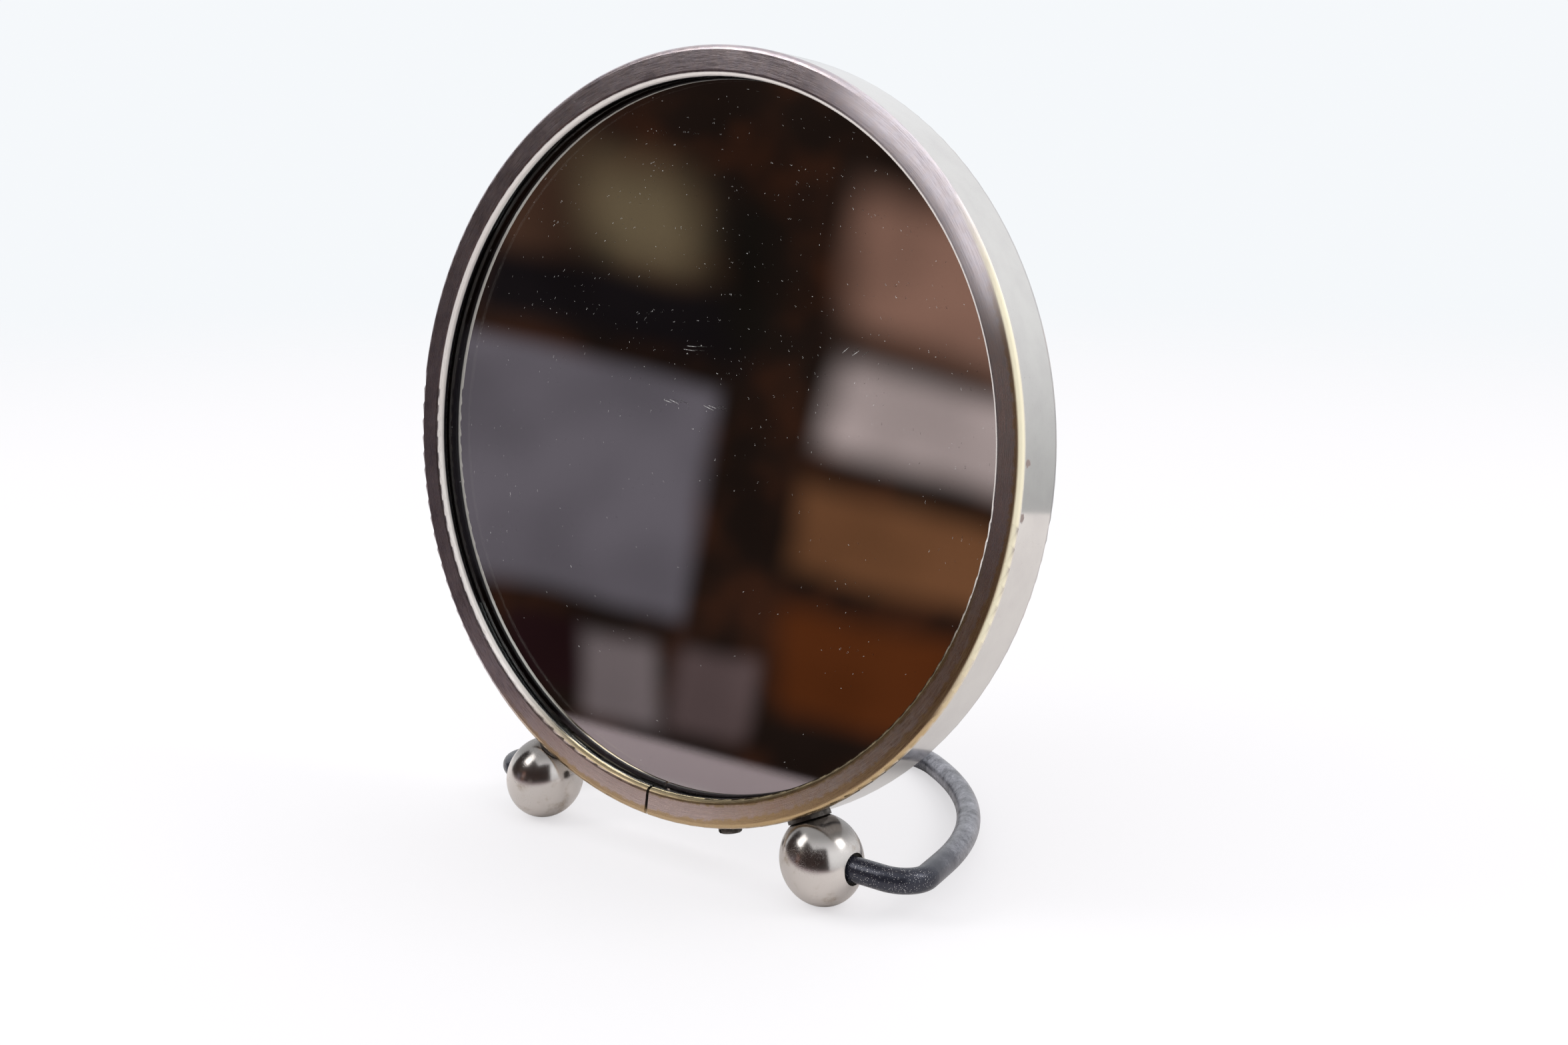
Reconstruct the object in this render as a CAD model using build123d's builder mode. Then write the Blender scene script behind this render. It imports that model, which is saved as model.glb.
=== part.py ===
"""Countertop mirror: a round glass in a split channel hoop, on two ball feet, with a folding wire stand.

Sizes are in millimetres. +Z is up, +Y points to the back and +X to the right, seen from the front.
The origin is on the table, under the middle of the whole mirror. Depths are measured squarely
from the hoop's front plane towards the back, and angles run around the hoop from its lowest point.
"""

import os
from math import asin, atan2, cos, degrees, radians, sin, sqrt

from build123d import *

# Hoop: one strip, rolled to a channel around the glass, with its two ends meeting at the bottom.
hoop_radius = 85.0
hoop_depth = 13.8
strip = 1.0
front_flange = 6.5
rear_flange = 5.0
lip_depth = 2.5
front_corner = 1.1
lip_corner = 1.2
rear_corner = 1.0
edge_break = 0.3
split_angle = radians(-2.8)
split_gap = 0.8

# Stack inside the hoop, from front to back.
glass_gap = 3.2
glass_thickness = 3.0
glass_arris = 0.3
silver_thickness = 0.1
silver_margin = 0.3
card_thickness = 2.0
panel_gap = 0.4
panel_thickness = 1.5
packing_gap = 0.2
packing_width = 5.0
packing_past_foot = radians(6.1)

# Strap that bridges the split, and its two screws.
strap_thickness = 1.2
strap_width = 8.0
strap_depth = 7.0
strap_half_angle = radians(16.5)
joint_screw_angle = radians(12.8)
joint_thread_radius = 1.5
joint_head_radius = 2.65
joint_head_height = 2.0
joint_head_round = 0.6
joint_slot_turn = 20
joint_slot_width = 0.8
joint_slot_depth = 1.0
joint_tip = 0.4

# Ball feet, each on a saddle washer and held by a screw from inside the hoop.
foot_angle = radians(25.9)
foot_depth = 5.6
ball_radius = 9.05
ball_half_length = 10.0
ball_flat_height = 8.8
saddle_radius = 4.8
saddle_thickness = 0.8
foot_thread_radius = 2.0
foot_screw_gap = 0.4
foot_hole_past_tip = 0.2
foot_head_radius = 3.5
foot_head_height = 1.6
foot_head_round = 0.5
foot_slot_width = 1.0
foot_slot_depth = 0.8
washer_radius = 3.75
washer_thickness = 0.6

# Wire stand: a loop of round rod whose two ends turn in fibre bushes inside the balls.
rod_radius = 2.75
rod_bend = 6.0
rod_end_chamfer = 0.5
loop_past_balls = 19.74
shoulder_inset = 13.36
shoulder_reach = 54.8
shoulder_radius = 106.0
tip_reach = 89.9
tip_radius = 24.0
loop_offset = 4.0
arm_inset = 0.52
bush_wall = 0.75
bush_recess = 1.5
socket_past_centre = 5.0

# Named clearances.
screw_clearance = 0.2
thread_clearance = 0.05
running_clearance = 0.05

# Lean of the glass from upright.
lean = radians(6.6)

# Directions of the leaning hoop.
right = Vector(1, 0, 0)
up = Vector(0, sin(lean), cos(lean))
back = Vector(0, cos(lean), -sin(lean))


def outward(angle):
    """Direction from the hoop's axis to its rim, at an angle to the right of the lowest point."""
    return right * sin(angle) - up * cos(angle)


def reach_along(direction, axis, half_length, radius):
    """How far an ovoid with this long axis reaches in a direction from its middle."""
    along = direction.dot(axis)
    return sqrt(radius**2 + (half_length**2 - radius**2) * along**2)


def surface_along(direction, axis, half_length, radius):
    """Distance from the middle of an ovoid to its surface in a direction."""
    along = direction.dot(axis)
    return 1 / sqrt(along**2 / half_length**2 + (1 - along**2) / radius**2)


# Places that follow from the sizes above.
ball_reach = hoop_radius + saddle_thickness + ball_flat_height
ball_axis = outward(foot_angle)
ball_height = reach_along(Vector(0, 0, 1), ball_axis, ball_half_length, ball_radius)
ball_front = reach_along(Vector(0, 1, 0), ball_axis, ball_half_length, ball_radius)
ball_side = surface_along(right, ball_axis, ball_half_length, ball_radius)
ball_from_centre = back * foot_depth + outward(foot_angle) * ball_reach
ball_x = ball_from_centre.X

bush_radius = rod_radius + bush_wall
screw_end = bush_radius + foot_screw_gap + foot_thread_radius * sin(foot_angle)
foot_thread_length = ball_flat_height - screw_end / cos(foot_angle)

loop_half_width = ball_x + loop_past_balls
shoulder_half_width = loop_half_width - shoulder_inset
arm_half_gap = ball_x - arm_inset
tip_slant = atan2(tip_reach - shoulder_reach, shoulder_half_width)
loop_reach = tip_reach - tip_radius * (1 / cos(tip_slant) - 1)
stand_drop = asin((ball_height - rod_radius) / loop_reach)
rear_from_ball = loop_reach * cos(stand_drop) + rod_radius
ball_y = (ball_front - rear_from_ball) / 2

centre = Vector(0, ball_y - ball_from_centre.Y, ball_height - ball_from_centre.Z)
hoop_axis = Axis(centre, back)
hinge_point = Vector(0, ball_y, ball_height)

hoop_inside = hoop_radius - strip
lip_radius = hoop_radius - front_flange
glass_radius = hoop_inside - glass_gap
panel_radius = hoop_inside - panel_gap
glass_depth = lip_depth
silver_depth = glass_depth + glass_thickness
card_depth = silver_depth + silver_thickness
pad_depth = card_depth + card_thickness
panel_depth = hoop_depth - strip - panel_thickness
pad_thickness = panel_depth - pad_depth
washer_seat = sqrt(hoop_inside**2 - washer_radius**2)


def rim_plane(angle):
    """Plane through the hoop's axis: x is the distance from the axis and y the depth."""
    return Plane(centre, x_dir=outward(angle), z_dir=outward(angle).cross(back))


def face_plane(depth):
    """Plane parallel to the glass at a depth, with its normal towards the back."""
    return Plane(centre + back * depth, x_dir=right, z_dir=back)


def spoke_plane(angle, depth, distance):
    """Plane square to a spoke of the hoop, at a distance from the axis, with its normal outward."""
    spoke = outward(angle)
    return Plane(centre + back * depth + spoke * distance, x_dir=back, z_dir=spoke)


def save(piece, name):
    """Label a finished piece and write it as a STEP file."""
    piece.label = name
    export_step(piece, f"parts/{name}.step")


os.makedirs("parts", exist_ok=True)

# The hoop's section is drawn at the right-hand end of the split and turned around the axis.
half_gap_angle = asin(split_gap / 2 / hoop_radius)
joint_hole_angles = [split_angle - joint_screw_angle, split_angle + joint_screw_angle]
section_points = [
    (lip_radius, lip_depth),
    (lip_radius, 0),
    (hoop_radius, 0),
    (hoop_radius, hoop_depth),
    (hoop_radius - rear_flange, hoop_depth),
    (hoop_radius - rear_flange, hoop_depth - strip),
    (hoop_inside, hoop_depth - strip),
    (hoop_inside, strip),
    (lip_radius + strip, strip),
    (lip_radius + strip, lip_depth),
]
section_corners = [
    edge_break,
    lip_corner,
    front_corner,
    rear_corner,
    edge_break,
    0,
    edge_break,
    edge_break,
    edge_break,
    0,
]
with BuildPart() as frame_band:
    with BuildSketch(rim_plane(split_angle + half_gap_angle)):
        with BuildLine():
            FilletPolyline(*section_points, radius=section_corners, close=True)
        make_face()
    revolve(axis=hoop_axis, revolution_arc=-(360 - 2 * degrees(half_gap_angle)))
    for angle in (-foot_angle, foot_angle):
        with BuildSketch(spoke_plane(angle, foot_depth, hoop_inside - strip)):
            Circle(foot_thread_radius + screw_clearance)
        extrude(amount=3 * strip, mode=Mode.SUBTRACT)
    for angle in joint_hole_angles:
        with BuildSketch(spoke_plane(angle, strap_depth, hoop_inside - strip)):
            Circle(joint_thread_radius + screw_clearance)
        extrude(amount=3 * strip, mode=Mode.SUBTRACT)
save(frame_band.part, "frame_band")

with BuildPart() as joint_strap:
    with BuildSketch(rim_plane(split_angle + strap_half_angle)):
        with Locations((hoop_inside - strap_thickness / 2, strap_depth)):
            Rectangle(strap_thickness, strap_width)
    revolve(axis=hoop_axis, revolution_arc=2 * degrees(strap_half_angle))
    for angle in joint_hole_angles:
        with BuildSketch(spoke_plane(angle, strap_depth, hoop_inside - 2 * strap_thickness)):
            Circle(joint_thread_radius + thread_clearance)
        extrude(amount=3 * strap_thickness, mode=Mode.SUBTRACT)
save(joint_strap.part, "joint_strap")


def joint_screw(angle):
    """Slotted screw from outside the hoop into the strap."""
    with BuildPart() as screw:
        with BuildSketch(spoke_plane(angle, strap_depth, hoop_radius)):
            Circle(joint_head_radius)
        extrude(amount=joint_head_height)
        fillet(screw.faces().sort_by(Axis(centre, outward(angle)))[-1].edges(), joint_head_round)
        with BuildSketch(spoke_plane(angle, strap_depth, hoop_radius + joint_head_height)):
            Rectangle(3 * joint_head_radius, joint_slot_width, rotation=joint_slot_turn)
        extrude(amount=-joint_slot_depth, mode=Mode.SUBTRACT)
        with BuildSketch(spoke_plane(angle, strap_depth, hoop_radius)):
            Circle(joint_thread_radius)
        extrude(amount=-(strip + strap_thickness + joint_tip))
    return screw.part


for name, angle in zip(("left", "right"), joint_hole_angles):
    save(joint_screw(angle), f"joint_screw_{name}")

with BuildPart() as mirror_glass:
    with BuildSketch(face_plane(glass_depth)):
        Circle(glass_radius)
    extrude(amount=glass_thickness)
    chamfer(mirror_glass.edges().filter_by(GeomType.CIRCLE), glass_arris)
save(mirror_glass.part, "mirror_glass")

with BuildPart() as mirror_silvering:
    with BuildSketch(face_plane(silver_depth)):
        Circle(glass_radius - glass_arris - silver_margin)
    extrude(amount=silver_thickness)
save(mirror_silvering.part, "mirror_silvering")

with BuildPart() as backing_card:
    with BuildSketch(face_plane(card_depth)):
        Circle(glass_radius)
    extrude(amount=card_thickness)
save(backing_card.part, "backing_card")

with BuildPart() as packing_pad:
    with BuildSketch(face_plane(pad_depth)):
        Circle(glass_radius)
    extrude(amount=pad_thickness)
save(packing_pad.part, "packing_pad")

with BuildPart() as back_panel:
    with BuildSketch(face_plane(panel_depth)):
        Circle(panel_radius)
    extrude(amount=panel_thickness)
save(back_panel.part, "back_panel")

# Strip of packing around the edge of the glass, from one foot over the top to the other.
packing_start = foot_angle + packing_past_foot
packing_inside = glass_radius + packing_gap
packing_outside = hoop_inside - packing_gap
with BuildPart() as edge_packing:
    with BuildSketch(rim_plane(packing_start)):
        with Locations((packing_inside, glass_depth + packing_gap)):
            Rectangle(packing_outside - packing_inside, packing_width, align=Align.MIN)
    revolve(axis=hoop_axis, revolution_arc=-(360 - 2 * degrees(packing_start)))
save(edge_packing.part, "edge_packing")


def foot_saddle(angle):
    """Washer between hoop and ball, hollowed on one side to fit the hoop."""
    with BuildPart() as saddle:
        with BuildSketch(spoke_plane(angle, foot_depth, hoop_radius + saddle_thickness)):
            Circle(saddle_radius)
        extrude(amount=-2 * saddle_thickness)
        with BuildSketch(face_plane(foot_depth - 2 * saddle_radius)):
            Circle(hoop_radius)
        extrude(amount=4 * saddle_radius, mode=Mode.SUBTRACT)
        with BuildSketch(spoke_plane(angle, foot_depth, hoop_radius - strip)):
            Circle(foot_thread_radius + screw_clearance)
        extrude(amount=4 * saddle_thickness, mode=Mode.SUBTRACT)
    return saddle.part


def foot_ball(side):
    """Ovoid foot with a flat for the saddle, a tapped hole for its screw and a blind socket for the rod."""
    spoke = outward(side * foot_angle)
    middle = hinge_point + right * side * ball_x
    across = spoke.cross(back)
    with BuildPart() as ball:
        with BuildSketch(Plane(middle, x_dir=across, z_dir=across.cross(spoke))):
            Ellipse(ball_radius, ball_half_length)
            with Locations((0, -ball_flat_height)):
                Rectangle(
                    2 * ball_radius,
                    3 * ball_half_length,
                    align=Align.MIN,
                    mode=Mode.INTERSECT,
                )
        revolve(axis=Axis(middle, spoke))
        socket_end = middle - right * side * socket_past_centre
        with BuildSketch(Plane(socket_end, x_dir=(0, 1, 0), z_dir=right * side)):
            Circle(bush_radius)
        extrude(amount=3 * ball_radius, mode=Mode.SUBTRACT)
        with BuildSketch(Plane(middle - spoke * ball_flat_height, x_dir=back, z_dir=spoke)):
            Circle(foot_thread_radius + thread_clearance)
        extrude(amount=foot_thread_length + foot_hole_past_tip, mode=Mode.SUBTRACT)
    return ball.part


def pivot_bush(side):
    """Fibre bush pressed into the ball, in which the end of the rod turns."""
    start = hinge_point + right * side * (ball_x - socket_past_centre)
    with BuildPart() as bush:
        with BuildSketch(Plane(start, x_dir=(0, 1, 0), z_dir=right * side)):
            Circle(bush_radius)
            Circle(rod_radius + running_clearance, mode=Mode.SUBTRACT)
        extrude(amount=socket_past_centre + ball_side - bush_recess)
    return bush.part


def foot_screw(angle):
    """Pan-head screw from inside the hoop, through washer, hoop and saddle into the ball."""
    head_seat = washer_seat - washer_thickness
    with BuildPart() as screw:
        with BuildSketch(spoke_plane(angle, foot_depth, head_seat)):
            Circle(foot_head_radius)
        extrude(amount=-foot_head_height)
        fillet(screw.faces().sort_by(Axis(centre, outward(angle)))[0].edges(), foot_head_round)
        with BuildSketch(spoke_plane(angle, foot_depth, head_seat - foot_head_height)):
            Rectangle(3 * foot_head_radius, foot_slot_width)
        extrude(amount=foot_slot_depth, mode=Mode.SUBTRACT)
        with BuildSketch(spoke_plane(angle, foot_depth, head_seat)):
            Circle(foot_thread_radius)
        extrude(amount=hoop_radius + saddle_thickness + foot_thread_length - head_seat)
    return screw.part


def foot_washer(angle):
    """Spring washer under the head of the foot's screw."""
    with BuildPart() as washer:
        with BuildSketch(spoke_plane(angle, foot_depth, washer_seat - washer_thickness)):
            Circle(washer_radius)
            Circle(foot_thread_radius + thread_clearance, mode=Mode.SUBTRACT)
        extrude(amount=washer_thickness)
    return washer.part


for name, side in (("left", -1), ("right", 1)):
    save(foot_ball(side), f"foot_ball_{name}")
    save(foot_saddle(side * foot_angle), f"foot_saddle_{name}")
    save(foot_screw(side * foot_angle), f"foot_screw_{name}")
    save(foot_washer(side * foot_angle), f"foot_washer_{name}")
    save(pivot_bush(side), f"pivot_bush_{name}")

# The stand lies in a plane through both ball middles that drops to the table at the loop's tip.
loop_plane = Plane(
    hinge_point + right * loop_offset,
    x_dir=right,
    z_dir=Vector(0, sin(stand_drop), cos(stand_drop)),
)
half_loop = [(arm_half_gap, 0), (loop_half_width, 0), (shoulder_half_width, shoulder_reach)]
loop_points = half_loop + [(0, tip_reach)] + [(-x, y) for x, y in reversed(half_loop)]
loop_radii = [rod_bend, shoulder_radius, tip_radius, shoulder_radius, rod_bend]
with BuildPart() as wire_stand:
    with BuildLine(loop_plane) as loop:
        FilletPolyline(*loop_points, radius=loop_radii)
    with BuildSketch(Plane(loop.wires()[0] @ 0, z_dir=loop.wires()[0] % 0)):
        Circle(rod_radius)
    sweep(path=loop.wires()[0])
    chamfer(wire_stand.faces().filter_by(GeomType.PLANE).edges(), rod_end_chamfer)
save(wire_stand.part, "wire_stand")
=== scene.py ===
"""Finishes, glass marks and studio for the countertop mirror, laid out as a Blender add-on."""

import math
import random

import bmesh
import bpy
from bpy.props import FloatProperty, FloatVectorProperty, IntProperty, PointerProperty
from mathutils import Matrix, Vector


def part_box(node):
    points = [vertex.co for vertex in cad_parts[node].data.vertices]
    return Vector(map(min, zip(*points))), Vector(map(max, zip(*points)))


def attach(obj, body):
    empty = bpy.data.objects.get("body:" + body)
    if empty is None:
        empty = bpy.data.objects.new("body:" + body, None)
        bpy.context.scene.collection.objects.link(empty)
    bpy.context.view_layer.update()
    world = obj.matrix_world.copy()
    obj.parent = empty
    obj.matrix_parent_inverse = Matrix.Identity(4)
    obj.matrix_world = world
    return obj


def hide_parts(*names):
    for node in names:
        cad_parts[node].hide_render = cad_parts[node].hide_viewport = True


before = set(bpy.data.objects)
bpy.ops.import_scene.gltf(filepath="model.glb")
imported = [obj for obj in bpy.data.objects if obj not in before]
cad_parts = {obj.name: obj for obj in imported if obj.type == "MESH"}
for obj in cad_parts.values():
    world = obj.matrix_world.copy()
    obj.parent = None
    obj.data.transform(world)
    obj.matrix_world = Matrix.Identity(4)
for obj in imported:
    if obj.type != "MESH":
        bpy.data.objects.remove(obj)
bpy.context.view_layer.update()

bl_info = {
    "name": "Countertop Mirror",
    "version": (1, 0, 0),
    "blender": (4, 5, 0),
    "location": "View3D > Sidebar > Mirror",
    "description": "Finishes, glass marks and studio for a countertop mirror on ball feet",
    "category": "Object",
}

MM = 0.001
FRAME_BODY = "mirror_frame"

# Lean of the whole hoop, and depths of the layers behind its front plane.
LEAN = math.radians(6.6)
GLASS_DEPTH = 2.5 * MM
GLASS_OPENING = 78.5 * MM
SILVER_DEPTH = 5.5 * MM
SILVER_THICKNESS = 0.1 * MM
# Gap between the silver and the glass, which keeps the two surfaces apart.
SILVER_GAP = 0.02 * MM

# Radius of the hoop and length of one degree of its rim, in the millimetres that patterns use.
HOOP_RADIUS = 85.0
RIM_DEGREE = HOOP_RADIUS * math.radians(1)

RIGHT = Vector((1, 0, 0))
UP = Vector((0, math.sin(LEAN), math.cos(LEAN)))
BACK = Vector((0, math.cos(LEAN), -math.sin(LEAN)))
silver_low, silver_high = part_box("mirror_silvering")
HOOP_CENTRE = (silver_low + silver_high) / 2 - BACK * (SILVER_DEPTH + SILVER_THICKNESS / 2)

# Directions of the camera's own frame, which also place the two windows of light.
CAMERA_HEADING = 0.66005
CAMERA_PITCH = 0.21530
CAMERA_RIGHT = Vector((math.cos(CAMERA_HEADING), math.sin(CAMERA_HEADING), 0))
CAMERA_VIEW = Vector(
    (
        -math.sin(CAMERA_HEADING) * math.cos(CAMERA_PITCH),
        math.cos(CAMERA_HEADING) * math.cos(CAMERA_PITCH),
        -math.sin(CAMERA_PITCH),
    )
)
CAMERA_UP = CAMERA_RIGHT.cross(CAMERA_VIEW)


def hoop_matrix(angle, radius, depth, turn=0.0):
    """Place on the hoop: x along the rim, y outward and z forward, turned about z."""
    outward = RIGHT * math.sin(angle) - UP * math.cos(angle)
    along = RIGHT * math.cos(angle) + UP * math.sin(angle)
    place = Matrix((along, outward, -BACK)).transposed().to_4x4()
    place.translation = HOOP_CENTRE + outward * radius + BACK * depth
    return place @ Matrix.Rotation(turn, 4, "Z")


def colour_property(name, description, default):
    return FloatVectorProperty(
        name=name,
        description=description,
        default=default,
        size=3,
        min=0.0,
        max=1.0,
        subtype="COLOR",
    )


def length_property(name, description, default):
    return FloatProperty(
        name=name,
        description=description,
        default=default,
        min=0.0,
        unit="LENGTH",
        subtype="DISTANCE",
    )


def factor_property(name, description, default):
    return FloatProperty(
        name=name, description=description, default=default, min=0.0, max=1.0, subtype="FACTOR"
    )


class HoopFinish(bpy.types.PropertyGroup):
    """Nickel plate of the hoop, wearing through to brass at its edges, with painted sheen and
    highlights on the front.
    """

    nickel: colour_property("Nickel", "Clean nickel plate on the side", (0.72, 0.7, 0.67))
    face_nickel: colour_property("Face nickel", "Handled nickel on the front", (0.6, 0.53, 0.56))
    haze: colour_property("Haze", "Purple-grey tarnish on the front", (0.345, 0.3, 0.33))
    # Paler colour of a painted sheen arc on the front, standing in for a reflection.
    rubbing_and_sheen: colour_property("Sheen arc", "Paler arc at upper right", (0.9, 0.82, 0.87))
    brown: colour_property("Brown stain", "Warm stain on the lower front", (0.72, 0.56, 0.48))
    olive: colour_property("Olive stain", "Stain beside the glass", (0.42, 0.3, 0.12))
    brass: colour_property("Brass", "Brass bared along the front corner", (0.55, 0.38, 0.17))
    # Colour of a painted highlight along the front corner on the right.
    cream: colour_property("Pale corner", "Painted highlight on the right corner", (0.92, 0.84, 0.62))
    # The cream of the lip wall is a painted highlight of its lit wall.
    lip: colour_property("Lip", "Cream wall of the lip around the glass", (0.9, 0.83, 0.78))
    # Painted shade for the recessed inside of the hoop.
    inside: colour_property("Inside", "Dark inside of the hoop", (0.03, 0.028, 0.03))
    rust: colour_property("Rust", "Chips with a brown edge on the side", (0.16, 0.08, 0.06))
    face_roughness: factor_property("Face roughness", "Roughness of the brushed front", 0.27)
    side_roughness: factor_property("Side roughness", "Roughness of the polished side", 0.07)


class GlassFinish(bpy.types.PropertyGroup):
    """Glass, silver layer and the small marks on the glass."""

    glass: colour_property("Glass", "Tint of the glass", (0.96, 0.985, 0.975))
    silver: colour_property("Silver", "Colour of the silver layer", (0.84, 0.83, 0.82))
    mark: colour_property("Marks", "Flecks and scratches on the glass", (0.85, 0.83, 0.8))
    mark_count: IntProperty(name="Flecks", description="Number of flecks", default=540, min=0)
    mark_length: length_property("Fleck length", "Length of a usual fleck", 0.3 * MM)
    mark_width: length_property("Fleck width", "Width of a usual fleck", 0.07 * MM)
    seed: IntProperty(name="Seed", description="Seed of the scatter", default=11, min=0)


class FeetFinish(bpy.types.PropertyGroup):
    """Ball feet, their saddles and all the screws."""

    nickel: colour_property("Ball nickel", "Polished nickel of the balls", (0.66, 0.62, 0.59))
    stain: colour_property("Ball stain", "Brown stains on the balls", (0.33, 0.25, 0.17))
    # Dark colour of the saddles and the screws under the hoop: painted shade, as they sit in the
    # hoop's shadow.
    saddle: colour_property("Saddles", "Washers and screws, dark with painted shade", (0.07, 0.062, 0.055))
    steel: colour_property("Inner steel", "Plated steel inside the hoop", (0.55, 0.55, 0.54))
    fibre: colour_property("Bushes", "Fibre bushes inside the balls", (0.035, 0.03, 0.022))
    ball_roughness: factor_property("Ball roughness", "Roughness of the balls", 0.19)


class StandFinish(bpy.types.PropertyGroup):
    """Blackened rod of the stand."""

    steel: colour_property("Black steel", "Blackened steel of the rod", (0.021, 0.022, 0.034))
    # Grey of wear patches, which also paints a sheen towards the rear of the rod.
    wear_and_sheen: colour_property("Grey wear and sheen", "Grey where the black wears thin, and painted sheen at the rear", (0.56, 0.55, 0.6))
    chip: colour_property("Chips", "Bare flecks by the balls", (0.75, 0.72, 0.7))
    wear: factor_property("Wear", "How much of the rod is rubbed grey", 0.45)


class BackFinish(bpy.types.PropertyGroup):
    """Closed back and the packing inside the hoop."""

    lacquer: colour_property("Lacquer", "Black lacquer of the back panel", (0.03, 0.029, 0.028))
    card: colour_property("Card", "Grey card behind the glass", (0.42, 0.4, 0.37))
    felt: colour_property("Felt", "Felt between card and panel", (0.22, 0.2, 0.19))
    cork: colour_property("Cork", "Dark cork around the glass", (0.1, 0.065, 0.04))


class StageSetup(bpy.types.PropertyGroup):
    """Floor, lights, room and camera."""

    floor: colour_property("Floor", "Pale floor", (0.88, 0.865, 0.865))
    backdrop: colour_property("Backdrop", "Pale backdrop seen by the camera", (0.915, 0.94, 0.965))
    window_size: length_property("Window size", "Height of each window of light", 0.3)
    window_distance: length_property("Window distance", "Distance of each window of light", 0.9)
    window_power: FloatProperty(
        name="Window power", description="Power of each window of light", default=1.5, min=0.0
    )
    lens: FloatProperty(
        name="Lens", description="Focal length in millimetres", default=42.226, min=1.0
    )
    camera_place: FloatVectorProperty(
        name="Camera place",
        description="Camera from the middle of the hoop's front",
        default=(0.25996, -0.29906, 0.06850),
        size=3,
        unit="LENGTH",
        subtype="TRANSLATION",
    )


class MirrorSettings(bpy.types.PropertyGroup):
    """All settings of the countertop mirror."""

    hoop: PointerProperty(type=HoopFinish)
    glass: PointerProperty(type=GlassFinish)
    feet: PointerProperty(type=FeetFinish)
    stand: PointerProperty(type=StandFinish)
    back: PointerProperty(type=BackFinish)
    stage: PointerProperty(type=StageSetup)


# ---------------------------------------------------------------- wiring of nodes


# Sockets of a Mix node, which has a set for numbers and a set for colours.
NUMBER_SOCKETS = (2, 3, 0)
COLOUR_SOCKETS = (6, 7, 2)


class Wiring:
    """Adds nodes to a tree and joins them. A value may be a socket, a number or a colour."""

    def __init__(self, tree):
        self.tree = tree

    def feed(self, socket, value):
        if isinstance(value, bpy.types.NodeSocket):
            self.tree.links.new(value, socket)
        elif socket.type == "RGBA" and len(value) == 3:
            socket.default_value = (*value, 1.0)
        else:
            socket.default_value = value

    def node(self, kind, inputs=None, **settings):
        node = self.tree.nodes.new(kind)
        for name, value in settings.items():
            setattr(node, name, value)
        for key, value in (inputs or {}).items():
            self.feed(node.inputs[key], value)
        return node

    def math(self, operation, first, second=0.0):
        node = self.node("ShaderNodeMath", {0: first, 1: second}, operation=operation)
        return node.outputs[0]

    def plus(self, first, second):
        return self.math("ADD", first, second)

    def minus(self, first, second):
        return self.math("SUBTRACT", first, second)

    def times(self, first, second):
        return self.math("MULTIPLY", first, second)

    def larger(self, first, second):
        return self.math("MAXIMUM", first, second)

    def vector(self, operation, first, second=(0, 0, 0), output="Vector"):
        node = self.node("ShaderNodeVectorMath", {0: first, 1: second}, operation=operation)
        return node.outputs[output]

    def scaled(self, vector, factor):
        inputs = {"Vector": vector, "Scale": factor}
        return self.node("ShaderNodeVectorMath", inputs, operation="SCALE").outputs["Vector"]

    def ramp(self, value, low, high, start=0.0, end=1.0, smooth=True):
        inputs = {
            "Value": value,
            "From Min": low,
            "From Max": high,
            "To Min": start,
            "To Max": end,
        }
        kind = "SMOOTHSTEP" if smooth else "LINEAR"
        return self.node("ShaderNodeMapRange", inputs, interpolation_type=kind).outputs["Result"]

    def between(self, mask, start, end):
        """Number between two ends, as far along as the mask says."""
        return self.ramp(mask, 0.0, 1.0, start, end)

    def threshold(self, cover, bare, span):
        """Noise level from which a pattern shows, lower by the span at full cover."""
        return self.minus(bare, self.times(cover, span))

    def mix(self, factor, first, second, kind="RGBA"):
        start, end, result = COLOUR_SOCKETS if kind == "RGBA" else NUMBER_SOCKETS
        inputs = {0: factor, start: first, end: second}
        return self.node("ShaderNodeMix", inputs, data_type=kind).outputs[result]

    def layered(self, base, *layers):
        """Colours laid over a base in turn, each by its mask and its share."""
        for mask, share, colour in layers:
            base = self.mix(self.times(mask, share), base, colour)
        return base

    def raised(self, base, *parts):
        """A number raised by each mask times its share."""
        for mask, share in parts:
            base = self.plus(base, self.times(mask, share))
        return base

    def noise(self, vector, scale=1.0, detail=2.0, roughness=0.5, output="Fac"):
        inputs = {"Vector": vector, "Scale": scale, "Detail": detail, "Roughness": roughness}
        return self.node("ShaderNodeTexNoise", inputs).outputs[output]

    def separate(self, vector):
        return self.node("ShaderNodeSeparateXYZ", {0: vector}).outputs

    def combine(self, x, y, z):
        return self.node("ShaderNodeCombineXYZ", {0: x, 1: y, 2: z}).outputs[0]

    def bump(self, height, distance):
        inputs = {"Height": height, "Distance": distance, "Strength": 1.0}
        return self.node("ShaderNodeBump", inputs).outputs["Normal"]

    def group(self, tree, inputs):
        node = self.node("ShaderNodeGroup", node_tree=tree)
        for key, value in inputs.items():
            self.feed(node.inputs[key], value)
        return node.outputs


def new_group(name, inputs, outputs):
    """Shader node group with named sockets. Returns its wiring, and its ends to read and feed."""
    tree = bpy.data.node_groups.new(name, "ShaderNodeTree")
    for label, kind, default in inputs:
        socket = tree.interface.new_socket(label, in_out="INPUT", socket_type=kind)
        if default is not None:
            socket.default_value = default
    for label, kind in outputs:
        tree.interface.new_socket(label, in_out="OUTPUT", socket_type=kind)
    wiring = Wiring(tree)
    source = wiring.node("NodeGroupInput").outputs
    result = wiring.node("NodeGroupOutput").inputs
    return wiring, source, result


VECTOR = "NodeSocketVector"
FLOAT = "NodeSocketFloat"
# Turns of the three sets of scratches, in radians about x, y and z.
SCRATCH_TURNS = ((0.0, 0.5, 0.0), (0.0, 1.15, 0.2), (0.3, -0.45, 0.0))


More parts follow.
